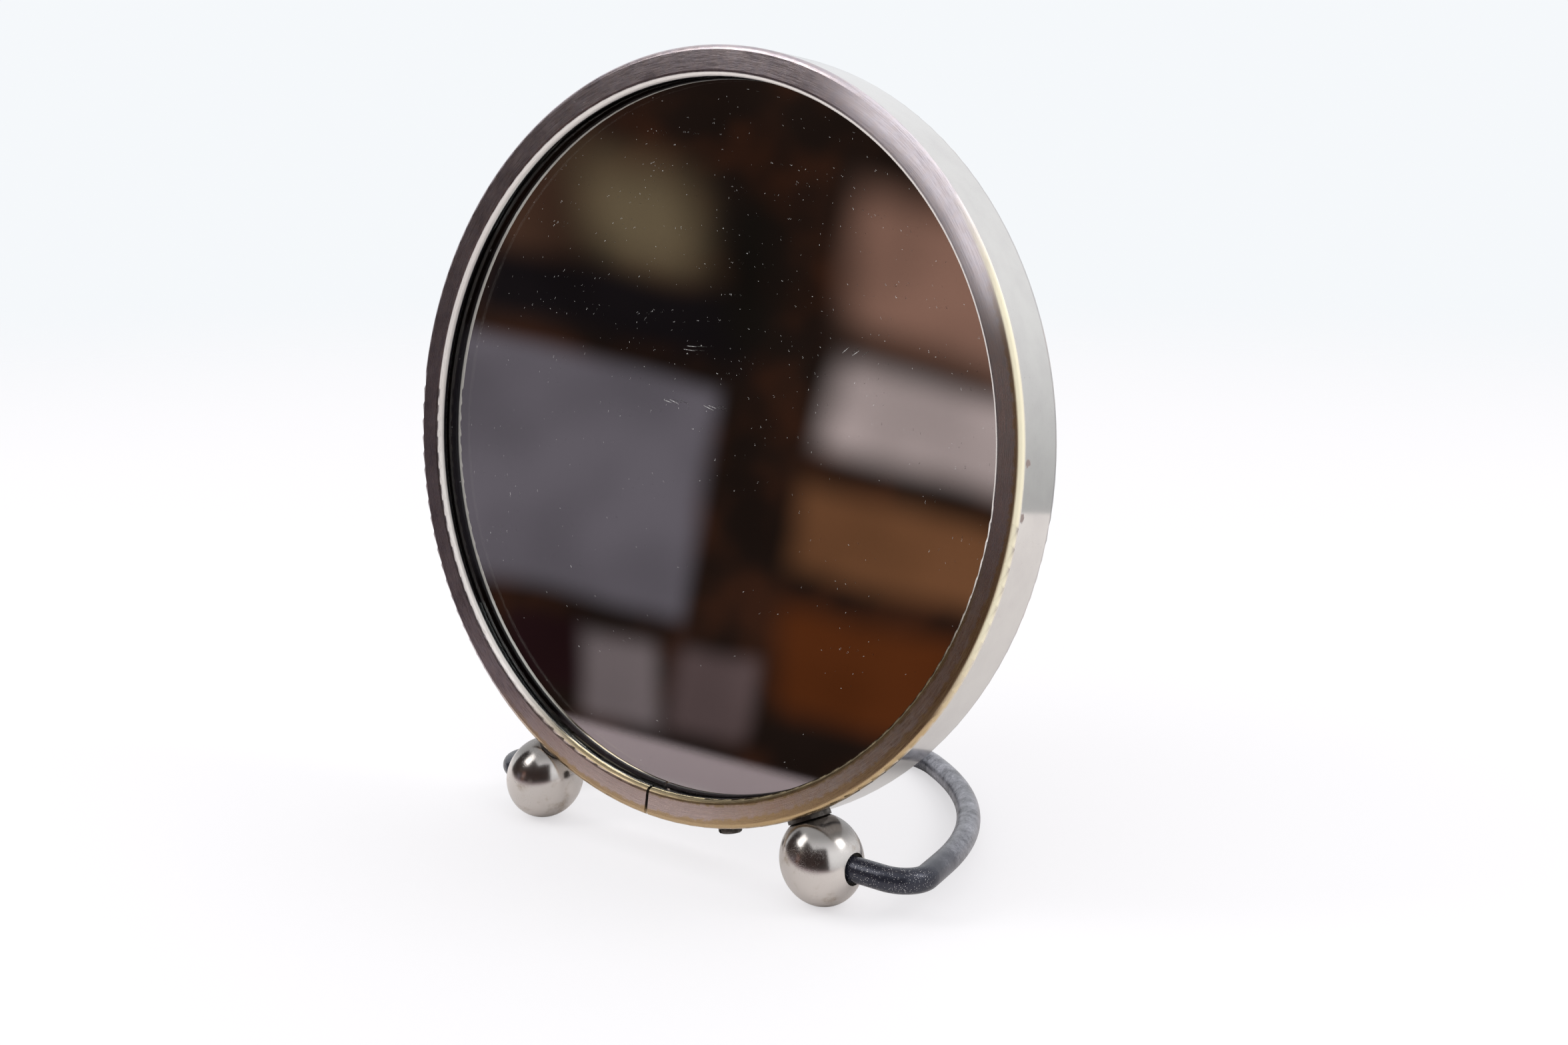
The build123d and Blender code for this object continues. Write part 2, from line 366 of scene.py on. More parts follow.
def hoop_place_group():
    """Radius and depth in millimetres, angle in degrees and a seamless direction around the hoop.

    The angle is 0 at the foot of the hoop, 90 on the right and 180 at the top, and negative on
    the left.
    """
    inputs = [("Position", VECTOR, None)]
    outputs = [("Radius", FLOAT), ("Depth", FLOAT), ("Angle", FLOAT), ("Around", VECTOR)]
    w, source, result = new_group("Hoop Place", inputs, outputs)
    away = w.scaled(w.vector("SUBTRACT", source["Position"], HOOP_CENTRE), 1 / MM)
    depth = w.vector("DOT_PRODUCT", away, BACK, "Value")
    height = w.vector("DOT_PRODUCT", away, UP, "Value")
    across = w.vector("DOT_PRODUCT", away, RIGHT, "Value")
    flat = w.combine(across, height, 0.0)
    w.feed(result["Radius"], w.vector("LENGTH", flat, output="Value"))
    w.feed(result["Depth"], depth)
    turn = w.math("ARCTAN2", across, w.times(height, -1.0))
    w.feed(result["Angle"], w.math("DEGREES", turn))
    w.feed(result["Around"], w.vector("NORMALIZE", flat))
    return w.tree


def brushed_lines_group():
    """Short fine lines that follow the hoop around."""
    inputs = [
        ("Around", VECTOR, None),
        ("Across", FLOAT, 0.0),
        ("Length", FLOAT, 8.0),
        ("Width", FLOAT, 0.15),
        ("Cover", FLOAT, 0.5),
    ]
    w, source, result = new_group("Brushed Lines", inputs, [("Mask", FLOAT)])
    turns = w.scaled(source["Around"], w.math("DIVIDE", HOOP_RADIUS, source["Length"]))
    rise = w.combine(0.0, 0.0, w.math("DIVIDE", source["Across"], source["Width"]))
    grain = w.noise(w.vector("ADD", turns, rise), detail=3.0, roughness=0.6)
    limit = w.threshold(source["Cover"], bare=0.85, span=0.7)
    w.feed(result["Mask"], w.ramp(grain, limit, w.plus(limit, 0.25)))
    return w.tree


def fine_scratches_group():
    """Short straight scratches in three directions, broken up by larger patches."""
    inputs = [
        ("Position", VECTOR, None),
        ("Length", FLOAT, 4.0),
        ("Width", FLOAT, 0.12),
        ("Cover", FLOAT, 0.5),
    ]
    w, source, result = new_group("Fine Scratches", inputs, [("Mask", FLOAT)])
    thin = w.math("DIVIDE", 1.0, source["Width"])
    size = w.combine(w.math("DIVIDE", 1.0, source["Length"]), thin, thin)
    limit = w.threshold(source["Cover"], bare=0.84, span=0.2)
    strokes = []
    for turn in SCRATCH_TURNS:
        inputs = {"Vector": source["Position"], "Rotation": turn}
        turned = w.node("ShaderNodeMapping", inputs).outputs[0]
        grain = w.noise(w.vector("MULTIPLY", turned, size), detail=1.0)
        strokes.append(w.ramp(grain, limit, w.plus(limit, 0.05)))
    patches = w.ramp(w.noise(source["Position"], scale=0.25), 0.35, 0.65)
    mask = w.larger(strokes[0], w.larger(strokes[1], strokes[2]))
    w.feed(result["Mask"], w.times(mask, patches))
    return w.tree


def tarnish_group():
    """Cloudy patches with ragged edges."""
    inputs = [
        ("Position", VECTOR, None),
        ("Size", FLOAT, 10.0),
        ("Cover", FLOAT, 0.5),
        ("Softness", FLOAT, 0.25),
    ]
    w, source, result = new_group("Tarnish", inputs, [("Mask", FLOAT)])
    point = w.vector("DIVIDE", source["Position"], w.combine(*[source["Size"]] * 3))
    cloud = w.noise(point, detail=6.0, roughness=0.62)
    limit = w.threshold(source["Cover"], bare=0.78, span=0.56)
    low = w.minus(limit, source["Softness"])
    high = w.plus(limit, source["Softness"])
    w.feed(result["Mask"], w.ramp(cloud, low, high))
    return w.tree


def pits_group():
    """Scattered small spots, each cell of the scatter keeping one only now and then."""
    inputs = [
        ("Position", VECTOR, None),
        ("Spacing", FLOAT, 4.0),
        ("Size", FLOAT, 0.1),
        ("Share", FLOAT, 0.3),
    ]
    w, source, result = new_group("Pits", inputs, [("Mask", FLOAT)])
    point = w.vector("DIVIDE", source["Position"], w.combine(*[source["Spacing"]] * 3))
    wobble = w.scaled(w.noise(point, scale=9.0, output="Color"), 0.12)
    cells = w.node("ShaderNodeTexVoronoi", {"Vector": w.vector("ADD", point, wobble)}).outputs
    half_size = w.times(source["Size"], 0.5)
    spot = w.ramp(cells["Distance"], half_size, source["Size"], 1.0, 0.0)
    pick = w.separate(cells["Color"])[0]
    kept = w.math("LESS_THAN", pick, source["Share"])
    w.feed(result["Mask"], w.times(spot, kept))
    return w.tree


def soft_patch_group():
    """Soft-edged patch of the room, leaning to one side if it has a slant."""
    inputs = [
        ("Point", VECTOR, None),
        ("Centre", VECTOR, None),
        ("Half Size", VECTOR, None),
        ("Blur", FLOAT, 30.0),
        ("Slant", VECTOR, None),
    ]
    w, source, result = new_group("Soft Patch", inputs, [("Mask", FLOAT)])
    away = w.separate(w.vector("SUBTRACT", source["Point"], source["Centre"]))
    half = w.separate(source["Half Size"])
    slant = w.separate(source["Slant"])
    shifts = (
        w.minus(away[0], w.times(away[1], slant[0])),
        w.minus(away[1], w.times(away[0], slant[1])),
    )
    sides = []
    for shift, reach in zip(shifts, half):
        inner = w.minus(reach, source["Blur"])
        outer = w.plus(reach, source["Blur"])
        sides.append(w.ramp(w.math("ABSOLUTE", shift), inner, outer, 1.0, 0.0))
    w.feed(result["Mask"], w.times(*sides))
    return w.tree


GROUP_MAKERS = {
    "Hoop Place": hoop_place_group,
    "Brushed Lines": brushed_lines_group,
    "Fine Scratches": fine_scratches_group,
    "Tarnish": tarnish_group,
    "Pits": pits_group,
    "Soft Patch": soft_patch_group,
}


def shared_group(name):
    """The node group of that name, made the first time it is asked for."""
    return bpy.data.node_groups.get(name) or GROUP_MAKERS[name]()


class Finish(Wiring):
    """Wiring of one surface material, with its object position in metres and in millimetres."""

    def __init__(self, name):
        self.material = bpy.data.materials.new(name)
        self.material.use_nodes = True
        super().__init__(self.material.node_tree)
        self.surface = self.tree.nodes["Principled BSDF"]
        self.place = self.node("ShaderNodeTexCoord").outputs["Object"]
        self.point = self.scaled(self.place, 1 / MM)

    def effect(self, name, **inputs):
        """Mask of a shared group."""
        sockets = {key.replace("_", " "): value for key, value in inputs.items()}
        return self.group(shared_group(name), sockets)["Mask"]

    def tarnish(self, size, cover, softness):
        inputs = {"Position": self.point, "Size": size, "Cover": cover, "Softness": softness}
        return self.effect("Tarnish", **inputs)

    def scratches(self, length, width, cover):
        inputs = {"Position": self.point, "Length": length, "Width": width, "Cover": cover}
        return self.effect("Fine Scratches", **inputs)

    def pits(self, spacing, size, share):
        inputs = {"Position": self.point, "Spacing": spacing, "Size": size, "Share": share}
        return self.effect("Pits", **inputs)

    def set(self, **values):
        """Feeds the surface shader's sockets and gives back the material."""
        for key, value in values.items():
            label = key.replace("_", " ").title().replace("Ior", "IOR")
            self.feed(self.surface.inputs[label], value)
        return self.material

    def show(self, shader):
        """Puts another shader in place of the usual surface, whose glow isn't a light."""
        self.feed(self.tree.nodes["Material Output"].inputs["Surface"], shader)
        self.tree.nodes.remove(self.surface)
        self.material.cycles.emission_sampling = "NONE"
        return self.material


def assign(material, *nodes):
    """Gives CAD nodes their finish."""
    for name in nodes:
        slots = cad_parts[name].data.materials
        slots.clear()
        slots.append(material)


def piece_from(name, mesh, material, body=None):
    """Object from a finished bmesh, at the origin, riding a body of the model."""
    data = bpy.data.meshes.new(name)
    mesh.to_mesh(data)
    mesh.free()
    data.materials.append(material)
    piece = bpy.data.objects.new(name, data)
    bpy.context.scene.collection.objects.link(piece)
    if body:
        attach(piece, body)
    return piece


# ---------------------------------------------------------------- finishes and pieces


# Arcs of the hoop in degrees, counted as in Hoop Place: middle, full within, gone beyond.
# The first arc holds a painted sheen on the front at upper right; the pale arc places a painted
# highlight on the front corner.
SHEEN_ARC = (134.0, 11.0, 29.0)
LOWER_ARC = (18.0, 40.0, 62.0)
RIGHT_ARC = (95.0, 42.0, 62.0)
GOLDEN_ARC = (46.0, 22.0, 40.0)
OLIVE_ARC = (35.0, 30.0, 52.0)
BRASS_ARC = (75.0, 25.0, 48.0)
PALE_ARC = (92.0, 20.0, 42.0)
TANNED_ARC = (20.0, 38.0, 62.0)
# Arcs of the front where the nickel shows through, and how much of it.
NICKEL_ARCS = (((42.0, 6.0, 18.0), 0.8), ((103.0, 6.0, 18.0), 0.5))

# Bands of the hoop in millimetres, from where a mask starts to where it is full.
FACE_DEPTH = (1.3, 0.5)
SIDE_DEPTH = (0.9, 1.4)
SIDE_RADIUS = (84.0, 84.6)
SHEEN_RADIUS = (79.5, 82.5)
OLIVE_RADIUS = (80.5, 79.7)
BRASS_RADIUS = (82.9, 83.7)
CORNER_RADIUS = (83.5, 84.3)
CORNER_DEPTH = (1.5, 0.5)
LIP_RADIUS = (79.4, 79.0)
LIP_DEPTH = (1.8, 1.5)
CHANNEL_FRONT = (1.5, 1.85)
CHANNEL_BACK = (13.2, 12.9)
CHANNEL_RADIUS = (84.7, 84.3)
REAR_STAIN_DEPTH = (12.3, 13.2)
REAR_LINE_DEPTH = 12.7
REAR_LINE_WIDTH = (0.35, 0.1)

# Chips on the polished side: angle around the hoop and depth, and the size of each.
CHIPS = ((93.2, 2.0), (86.0, 1.6))
CHIP_SIZE = (1.75, 1.3)


class MIRROR_OT_finish_hoop(bpy.types.Operator):
    """Give the hoop its worn nickel, with brass at the corners"""

    bl_idname = "mirror.finish_hoop"
    bl_label = "Finish Hoop"

    def arc(self, w, angle, middle, core, reach):
        """Mask of an arc of the hoop, full within its core and gone at its reach."""
        return w.ramp(w.math("ABSOLUTE", w.minus(angle, middle)), reach, core)

    def execute(self, context):
        colours = context.scene.counter_mirror.hoop
        w = Finish("hoop_nickel")
        hoop = w.group(shared_group("Hoop Place"), {"Position": w.place})
        radius, depth, angle, around = (hoop[k] for k in ("Radius", "Depth", "Angle", "Around"))
        face = w.ramp(depth, *FACE_DEPTH)
        side = w.times(w.ramp(depth, *SIDE_DEPTH), w.ramp(radius, *SIDE_RADIUS))

        # Brushed front: purple-grey haze, a paler arc of painted sheen at upper right and a warm
        # stain on the lower part.
        brush = {"Around": around, "Across": radius}
        lines = w.effect("Brushed Lines", **brush, Length=5.0, Width=0.12, Cover=0.6)
        coarse = w.effect("Brushed Lines", **brush, Length=16.0, Width=0.4, Cover=0.45)
        clouds = w.tarnish(size=11.0, cover=0.5, softness=0.3)
        mottle = w.tarnish(size=1.6, cover=0.5, softness=0.12)
        scratches = w.scratches(length=4.0, width=0.14, cover=0.55)
        rubbing_and_sheen = self.arc(w, angle, *SHEEN_ARC)
        lower = self.arc(w, angle, *LOWER_ARC)
        right = self.arc(w, angle, *RIGHT_ARC)
        front = w.mix(clouds, colours.face_nickel, colours.haze)
        front = w.layered(front, (lower, 0.65, colours.brown), (right, 0.35, colours.nickel))
        for bare, share in NICKEL_ARCS:
            front = w.layered(front, (self.arc(w, angle, *bare), share, colours.nickel))
        front = w.layered(front, (lines, 0.35, colours.haze))
        # Painted sheen: the arc at upper right is paler, more so towards the outer edge.
        outwards = w.ramp(radius, *SHEEN_RADIUS, 0.3, 0.75)
        front = w.layered(front, (rubbing_and_sheen, outwards, colours.rubbing_and_sheen))
        streaks = w.times(w.larger(lines, coarse), rubbing_and_sheen)
        front = w.layered(
            front,
            (streaks, 0.55, colours.haze),
            (coarse, 0.16, colours.nickel),
            (mottle, 0.2, colours.brown),
        )
        golden = self.arc(w, angle, *GOLDEN_ARC)
        front = w.layered(front, (w.between(mottle, 0.3, 0.4), golden, colours.brass))
        front = w.layered(front, (scratches, 0.4, colours.nickel))

        # Edges of the front: olive beside the glass, brass outside, a painted highlight on the
        # corner at the right, and a cream painted highlight on the lip wall.
        ragged = w.times(mottle, 0.5)
        inner_edge = w.ramp(w.plus(radius, ragged), *OLIVE_RADIUS)
        by_glass = w.times(inner_edge, self.arc(w, angle, *OLIVE_ARC))
        front = w.layered(front, (by_glass, 0.8, colours.olive))
        reach = w.plus(radius, w.plus(ragged, w.times(golden, 0.7)))
        outer_edge = w.ramp(reach, *BRASS_RADIUS)
        by_edge = w.times(outer_edge, w.larger(lower, self.arc(w, angle, *BRASS_ARC)))
        front = w.layered(front, (by_edge, 0.75, colours.brass))
        # Painted highlight: the outer corner on the right is paler and less metallic.
        corner = w.times(w.ramp(radius, *CORNER_RADIUS), w.ramp(depth, *CORNER_DEPTH))
        pale = w.times(corner, self.arc(w, angle, *PALE_ARC))
        front = w.mix(pale, front, colours.cream)
        # Lip wall: cream painted highlight around most of it, olive tan towards the foot and lower
        # right.
        lip = w.times(w.ramp(radius, *LIP_RADIUS), w.ramp(depth, *LIP_DEPTH))
        tanned = w.times(self.arc(w, angle, *TANNED_ARC), 0.9)
        tan = [0.5 * c for c in colours.olive]
        front = w.mix(lip, front, w.mix(tanned, colours.lip, tan))

        # Polished side: dark pits, two chips with brown edges and a thin line of painted shade
        # where the rear corner turns.
        pits = w.pits(spacing=3.4, size=0.08, share=0.5)
        side_point = w.combine(w.times(angle, RIM_DEGREE), depth, 0.0)
        wobble = w.times(w.noise(w.point, scale=1.4, detail=3.0), 1.3)
        spots = []
        for chip_angle, chip_depth in CHIPS:
            middle = (chip_angle * RIM_DEGREE, chip_depth, 0.0)
            away = w.plus(w.vector("DISTANCE", side_point, middle, "Value"), wobble)
            spots.append(w.ramp(away, *CHIP_SIZE))
        spot = w.times(w.larger(*spots), side)
        # Painted shade: a thin darker line near the rear corner.
        rear_line = w.ramp(w.math("ABSOLUTE", w.minus(depth, REAR_LINE_DEPTH)), *REAR_LINE_WIDTH)
        rear_stain = w.times(w.ramp(depth, *REAR_STAIN_DEPTH), w.ramp(clouds, 0.4, 0.9))
        smear = w.tarnish(size=9.0, cover=0.4, softness=0.3)
        polished = w.layered(
            colours.nickel,
            (rear_line, 0.35, colours.haze),
            (rear_stain, 0.5, colours.brown),
            (smear, 0.2, colours.haze),
            (scratches, 0.25, colours.brown),
            (pits, 0.8, colours.rust),
            (spot, 0.75, colours.rust),
        )

        # The inside of the channel is painted dark as shade in the recess, and dull.
        inside = w.times(w.ramp(depth, *CHANNEL_FRONT), w.ramp(radius, *CHANNEL_RADIUS))
        inside = w.times(inside, w.ramp(depth, *CHANNEL_BACK))
        colour = w.mix(w.larger(face, lip), polished, front)
        colour = w.mix(inside, colour, colours.inside)
        brushing_and_sheen_parts = ((lines, 0.1), (rubbing_and_sheen, 0.2), (pale, 0.2))
        face_roughness = w.raised(colours.face_roughness, *brushing_and_sheen_parts)
        side_roughness = w.raised(colours.side_roughness, (smear, 0.06), (spot, 0.5))
        roughness = w.mix(face, side_roughness, face_roughness, "FLOAT")
        roughness = w.raised(roughness, (inside, 0.4))

        # The painted sheen arc, the painted corner highlight and the chips are less metallic, and
        # so is the cream painted highlight on the lip wall.
        thin = w.times(w.times(rubbing_and_sheen, face), outwards)
        dull = w.larger(thin, w.larger(pale, spot))
        dull = w.larger(dull, w.times(lip, w.minus(1.0, tanned)))
        height = w.times(w.plus(lines, scratches), face)
        height = w.raised(height, (pits, -2.0))
        material = w.set(
            base_color=colour,
            metallic=w.between(dull, 1.0, 0.2),
            roughness=roughness,
            normal=w.bump(height, distance=0.004 * MM),
        )
        assign(material, "frame_band")
        return {"FINISHED"}


GLASS_IOR = 1.52
SMEAR_ROUGHNESS = 0.008
SILVER_SPOT = (0.3, 0.28, 0.25)


class MIRROR_OT_finish_glass(bpy.types.Operator):
    """Give the glass its finish and lay the silver just behind it"""

    bl_idname = "mirror.finish_glass"
    bl_label = "Finish Glass"

    def execute(self, context):
        colours = context.scene.counter_mirror.glass
        w = Finish("clear_glass")
        smears = w.tarnish(size=30.0, cover=0.35, softness=0.25)
        material = w.set(
            base_color=colours.glass,
            roughness=w.times(smears, SMEAR_ROUGHNESS),
            transmission_weight=1.0,
            ior=GLASS_IOR,
        )
        assign(material, "mirror_glass")

        w = Finish("silvering")
        spots = w.pits(spacing=7.0, size=0.03, share=0.2)
        material = w.set(
            base_color=w.mix(spots, colours.silver, SILVER_SPOT),
            metallic=1.0,
            roughness=w.times(spots, 0.3),
        )
        mesh = bmesh.new()
        radius = (silver_high.x - silver_low.x) / 2
        bmesh.ops.create_circle(mesh, cap_ends=True, segments=192, radius=radius)
        raised = bmesh.ops.extrude_face_region(mesh, geom=mesh.faces[:])
        top = [v for v in raised["geom"] if isinstance(v, bmesh.types.BMVert)]
        bmesh.ops.translate(mesh, verts=top, vec=(0, 0, SILVER_THICKNESS - SILVER_GAP))
        bmesh.ops.recalc_face_normals(mesh, faces=mesh.faces[:])
        place = hoop_matrix(0.0, 0.0, SILVER_DEPTH + SILVER_THICKNESS)
        bmesh.ops.transform(mesh, matrix=place, verts=mesh.verts[:])
        film = piece_from("silver_film", mesh, material, FRAME_BODY)
        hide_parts("mirror_silvering")
        return {"FINISHED"}


# Longer scratches: angle around the hoop, distance from its middle, turn and length, in degrees
# and millimetres.
SCRATCHES = (
    (186.0, 20.0, 8.0, 4.2),
    (184.0, 20.8, 3.0, 3.4),
    (150.0, 9.0, -14.0, 4.0),
    (146.0, 9.8, -22.0, 3.0),
    (222.0, 11.0, 52.0, 3.0),
    (214.0, 10.0, 50.0, 3.2),
    (120.0, 46.0, 80.0, 2.6),
    (118.0, 48.0, 84.0, 2.4),
)
SCRATCH_WIDTH = 0.1 * MM
MARK_THICKNESS = 0.02 * MM
MARK_GREY = (0.3, 0.28, 0.27)
# Flecks gather towards the top of the glass and keep off its edge.
FLECK_SPREAD = 1.25
FLECK_MARGIN = 1.5 * MM
# Some flecks have a smaller one at their end.
HOOKED_SHARE = 0.4
HOOK_SIZE = 0.8


class MIRROR_OT_add_marks(bpy.types.Operator):
    """Scatter flecks and a few longer scratches over the glass"""

    bl_idname = "mirror.add_marks"
    bl_label = "Add Glass Marks"

    def add_fleck(self, mesh, angle, radius, turn, length, width):
        """One flat fleck, half sunk in the front of the glass."""
        place = hoop_matrix(angle, radius, GLASS_DEPTH, turn)
        size = Matrix.Diagonal((length / 2, width / 2, MARK_THICKNESS, 1.0))
        bmesh.ops.create_cone(
            mesh,
            cap_ends=True,
            segments=6,
            radius1=1.0,
            radius2=0.7,
            depth=1.0,
            matrix=place @ size,
        )

    def execute(self, context):
        settings = context.scene.counter_mirror.glass
        chance = random.Random(settings.seed)
        mesh = bmesh.new()
        for _ in range(settings.mark_count):
            angle = chance.gauss(math.pi, FLECK_SPREAD)
            radius = (GLASS_OPENING - FLECK_MARGIN) * math.sqrt(chance.random())
            turn = chance.uniform(0, math.pi)
            length = settings.mark_length * chance.uniform(0.4, 1.7)
            width = settings.mark_width * chance.uniform(0.6, 1.5)
            self.add_fleck(mesh, angle, radius, turn, length, width)
            if chance.random() < HOOKED_SHARE:
                bend = chance.uniform(0.5, 1.2)
                length, width = length * HOOK_SIZE, width * HOOK_SIZE
                angle, turn = angle + length / radius, turn + bend
                self.add_fleck(mesh, angle, radius, turn, length, width)
        for angle, radius, turn, length in SCRATCHES:
            angle, turn = math.radians(angle), math.radians(turn)
            self.add_fleck(mesh, angle, radius * MM, turn, length * MM, SCRATCH_WIDTH)
        w = Finish("glass_marks")
        grey = w.noise(w.point, scale=2.0, detail=3.0)
        material = w.set(
            base_color=w.mix(w.ramp(grey, 0.35, 0.65), MARK_GREY, settings.mark),
            roughness=w.ramp(grey, 0.3, 0.7, 0.45, 0.75),
        )
        piece_from("glass_marks", mesh, material, FRAME_BODY)
        return {"FINISHED"}


SADDLE_NODES = ("foot_saddle_left", "foot_saddle_right")
SCREW_NODES = ("joint_screw_left", "joint_screw_right")
FOOT_SCREW_NODES = ("foot_screw_left", "foot_screw_right", "foot_washer_left", "foot_washer_right")
# Fibres of the bushes run along x: how much closer the pattern is each way.
FIBRE_CROWDING = (0.8, 6.0, 6.0)
# Heights in millimetres over which the tops of the balls are painted dark, a painted reflection of
# the dark saddle and hoop above them.
TOP_SHADE_HEIGHT = (14.0, 17.5)


class MIRROR_OT_finish_feet(bpy.types.Operator):
    """Give the ball feet, saddles, bushes and screws their finishes"""

    bl_idname = "mirror.finish_feet"
    bl_label = "Finish Feet and Screws"

    def execute(self, context):
        colours = context.scene.counter_mirror.feet
        w = Finish("ball_nickel")
        stains = w.tarnish(size=6.0, cover=0.28, softness=0.1)
        scratches = w.scratches(length=3.0, width=0.12, cover=0.9)
        pits = w.pits(spacing=2.2, size=0.11, share=0.35)
        colour = w.layered(colours.nickel, (stains, 0.6, colours.stain), (pits, 0.7, colours.stain))
        # Painted reflection: the top of each ball turns dark under the saddle.
        top_shade = w.ramp(w.separate(w.point)[2], *TOP_SHADE_HEIGHT, 0.0, 0.7)
        colour = w.mix(top_shade, colour, colours.saddle)
        rough = w.raised(colours.ball_roughness, (stains, 0.12), (scratches, 0.12))
        height = w.minus(w.times(scratches, -1.0), w.times(pits, 2.0))
        material = w.set(
            base_color=colour,
            metallic=1.0,
            roughness=rough,
            normal=w.bump(height, distance=0.003 * MM),
        )
        assign(material, "foot_ball_left", "foot_ball_right")
        # Saddles and hoop screws take the dark colour of painted shade; the lighter patches on them
        # are wear.
        for name, colour, nodes in (
            ("saddle_dark", colours.saddle, SADDLE_NODES),
            ("dark_screw", colours.saddle, SCREW_NODES),
            ("inner_steel", colours.steel, FOOT_SCREW_NODES),
            ("strap_steel", colours.steel, ("joint_strap",)),
        ):
            w = Finish(name)
            rubbing_and_sheen = w.tarnish(size=1.5, cover=0.4, softness=0.15)
            lighter = [min(1.0, 2.0 * c + 0.04) for c in colour]
            material = w.set(
                base_color=w.layered(colour, (rubbing_and_sheen, 0.6, lighter)),
                metallic=1.0,
                roughness=w.between(rubbing_and_sheen, 0.48, 0.3),
                normal=w.bump(rubbing_and_sheen, distance=0.01 * MM),
            )
            assign(material, *nodes)
        w = Finish("bush_fibre")
        fibres = w.noise(w.vector("MULTIPLY", w.point, FIBRE_CROWDING), detail=3.0)
        darker = [0.5 * c for c in colours.fibre]
        material = w.set(
            base_color=w.mix(fibres, darker, colours.fibre),
            roughness=w.ramp(fibres, 0.3, 0.7, 0.55, 0.8),
            normal=w.bump(fibres, distance=0.03 * MM),
        )
        assign(material, "pivot_bush_left", "pivot_bush_right")
        return {"FINISHED"}


# Stretches of the rod in millimetres behind its front end: chips near the balls, and the run over
# which the black gives way to grey towards the rear, partly wear and partly painted sheen.
CHIPPED_LENGTH = (12.0, 5.0)
BLACK_LENGTH = (8.0, 40.0)


class MIRROR_OT_finish_stand(bpy.types.Operator):
    """Give the wire stand its worn black steel"""

    bl_idname = "mirror.finish_stand"
    bl_label = "Finish Stand"

    def execute(self, context):
        colours = context.scene.counter_mirror.stand
        front_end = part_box("wire_stand")[0].y / MM
        w = Finish("wire_steel")
        patches = w.tarnish(size=4.5, cover=colours.wear, softness=0.3)
        grain = w.tarnish(size=0.6, cover=0.5, softness=0.15)
        scratches = w.scratches(length=2.5, width=0.2, cover=0.6)
        chips = w.pits(spacing=1.3, size=0.3, share=0.4)
        rearwards = w.separate(w.point)[1]
        by_balls = w.ramp(rearwards, *(front_end + step for step in CHIPPED_LENGTH))
        # Painted sheen along with the wear: the rod turns lighter grey towards the rear.
        to_rear = w.ramp(rearwards, *(front_end + step for step in BLACK_LENGTH), 0.04, 1.0)
        wear_and_sheen = w.times(patches, w.between(grain, 0.55, 1.0))
        wear_and_sheen = w.larger(wear_and_sheen, w.times(scratches, 0.22))
        wear_and_sheen = w.times(wear_and_sheen, to_rear)
        colour = w.mix(wear_and_sheen, colours.steel, colours.wear_and_sheen)
        colour = w.layered(colour, (chips, by_balls, colours.chip))
        height = w.plus(w.times(patches, -0.5), w.times(grain, -0.5))
        material = w.set(
            base_color=colour,
            metallic=w.between(wear_and_sheen, 0.45, 0.8),
            roughness=w.between(wear_and_sheen, 0.26, 0.42),
            normal=w.bump(height, distance=0.012 * MM),
        )
        assign(material, "wire_stand")
        return {"FINISHED"}


DUST = (0.16, 0.155, 0.15)
SCUFF = (0.25, 0.24, 0.23)


class MIRROR_OT_finish_back(bpy.types.Operator):
    """Give the back panel, card, felt and cork their finishes"""

    bl_idname = "mirror.finish_back"
    bl_label = "Finish Back"

    def execute(self, context):
        colours = context.scene.counter_mirror.back
        w = Finish("back_lacquer")
        orange_peel = w.noise(w.point, scale=0.9, detail=3.0)
        scuffs = w.scratches(length=14.0, width=0.25, cover=0.5)
        dust = w.tarnish(size=22.0, cover=0.45, softness=0.25)
        material = w.set(
            base_color=w.layered(colours.lacquer, (dust, 0.25, DUST), (scuffs, 0.5, SCUFF)),
            roughness=w.between(dust, 0.34, 0.55),
            normal=w.bump(orange_peel, distance=0.02 * MM),
        )
        assign(material, "back_panel")
        for name, colour, size, rough, node in (
            ("grey_card", colours.card, 0.7, 0.85, "backing_card"),
            ("felt_pad", colours.felt, 0.5, 0.95, "packing_pad"),
            ("cork_packing", colours.cork, 1.2, 0.8, "edge_packing"),
        ):
            w = Finish(name)
            grains = w.tarnish(size=size, cover=0.5, softness=0.12)
            darker = [0.5 * c for c in colour]
            material = w.set(
                base_color=w.mix(grains, colour, darker),
                roughness=w.between(grains, rough, rough - 0.1),
                normal=w.bump(grains, distance=0.05 * MM),
            )
            assign(material, node)
        return {"FINISHED"}


# ---------------------------------------------------------------- studio

# Room in front of the mirror, in metres: a wall across its view and a side wall on the right.
ROOM_ALONG = Vector((0.8, -0.6, 0.0))
ROOM_TOWARDS = Vector((-0.6, -0.8, 0.0))
ROOM_DISTANCE = 1.2
ROOM_HALF_WIDTH = 1.3
ROOM_BOTTOM = -1.0
ROOM_TOP = 1.5
SIDE_WALL_ALONG = Vector((1.0, 1.0, 0.0)).normalized()
SIDE_WALL_WIDTH = 1.3
ROOM_DARK = (0.013, 0.0075, 0.006)
ROOM_BROWN = (0.035, 0.013, 0.0075)
# How far the edges of the patches wander, in millimetres, and how soft they are.
PATCH_DRIFT = 14.0
PATCH_SOFTNESS = 1.45
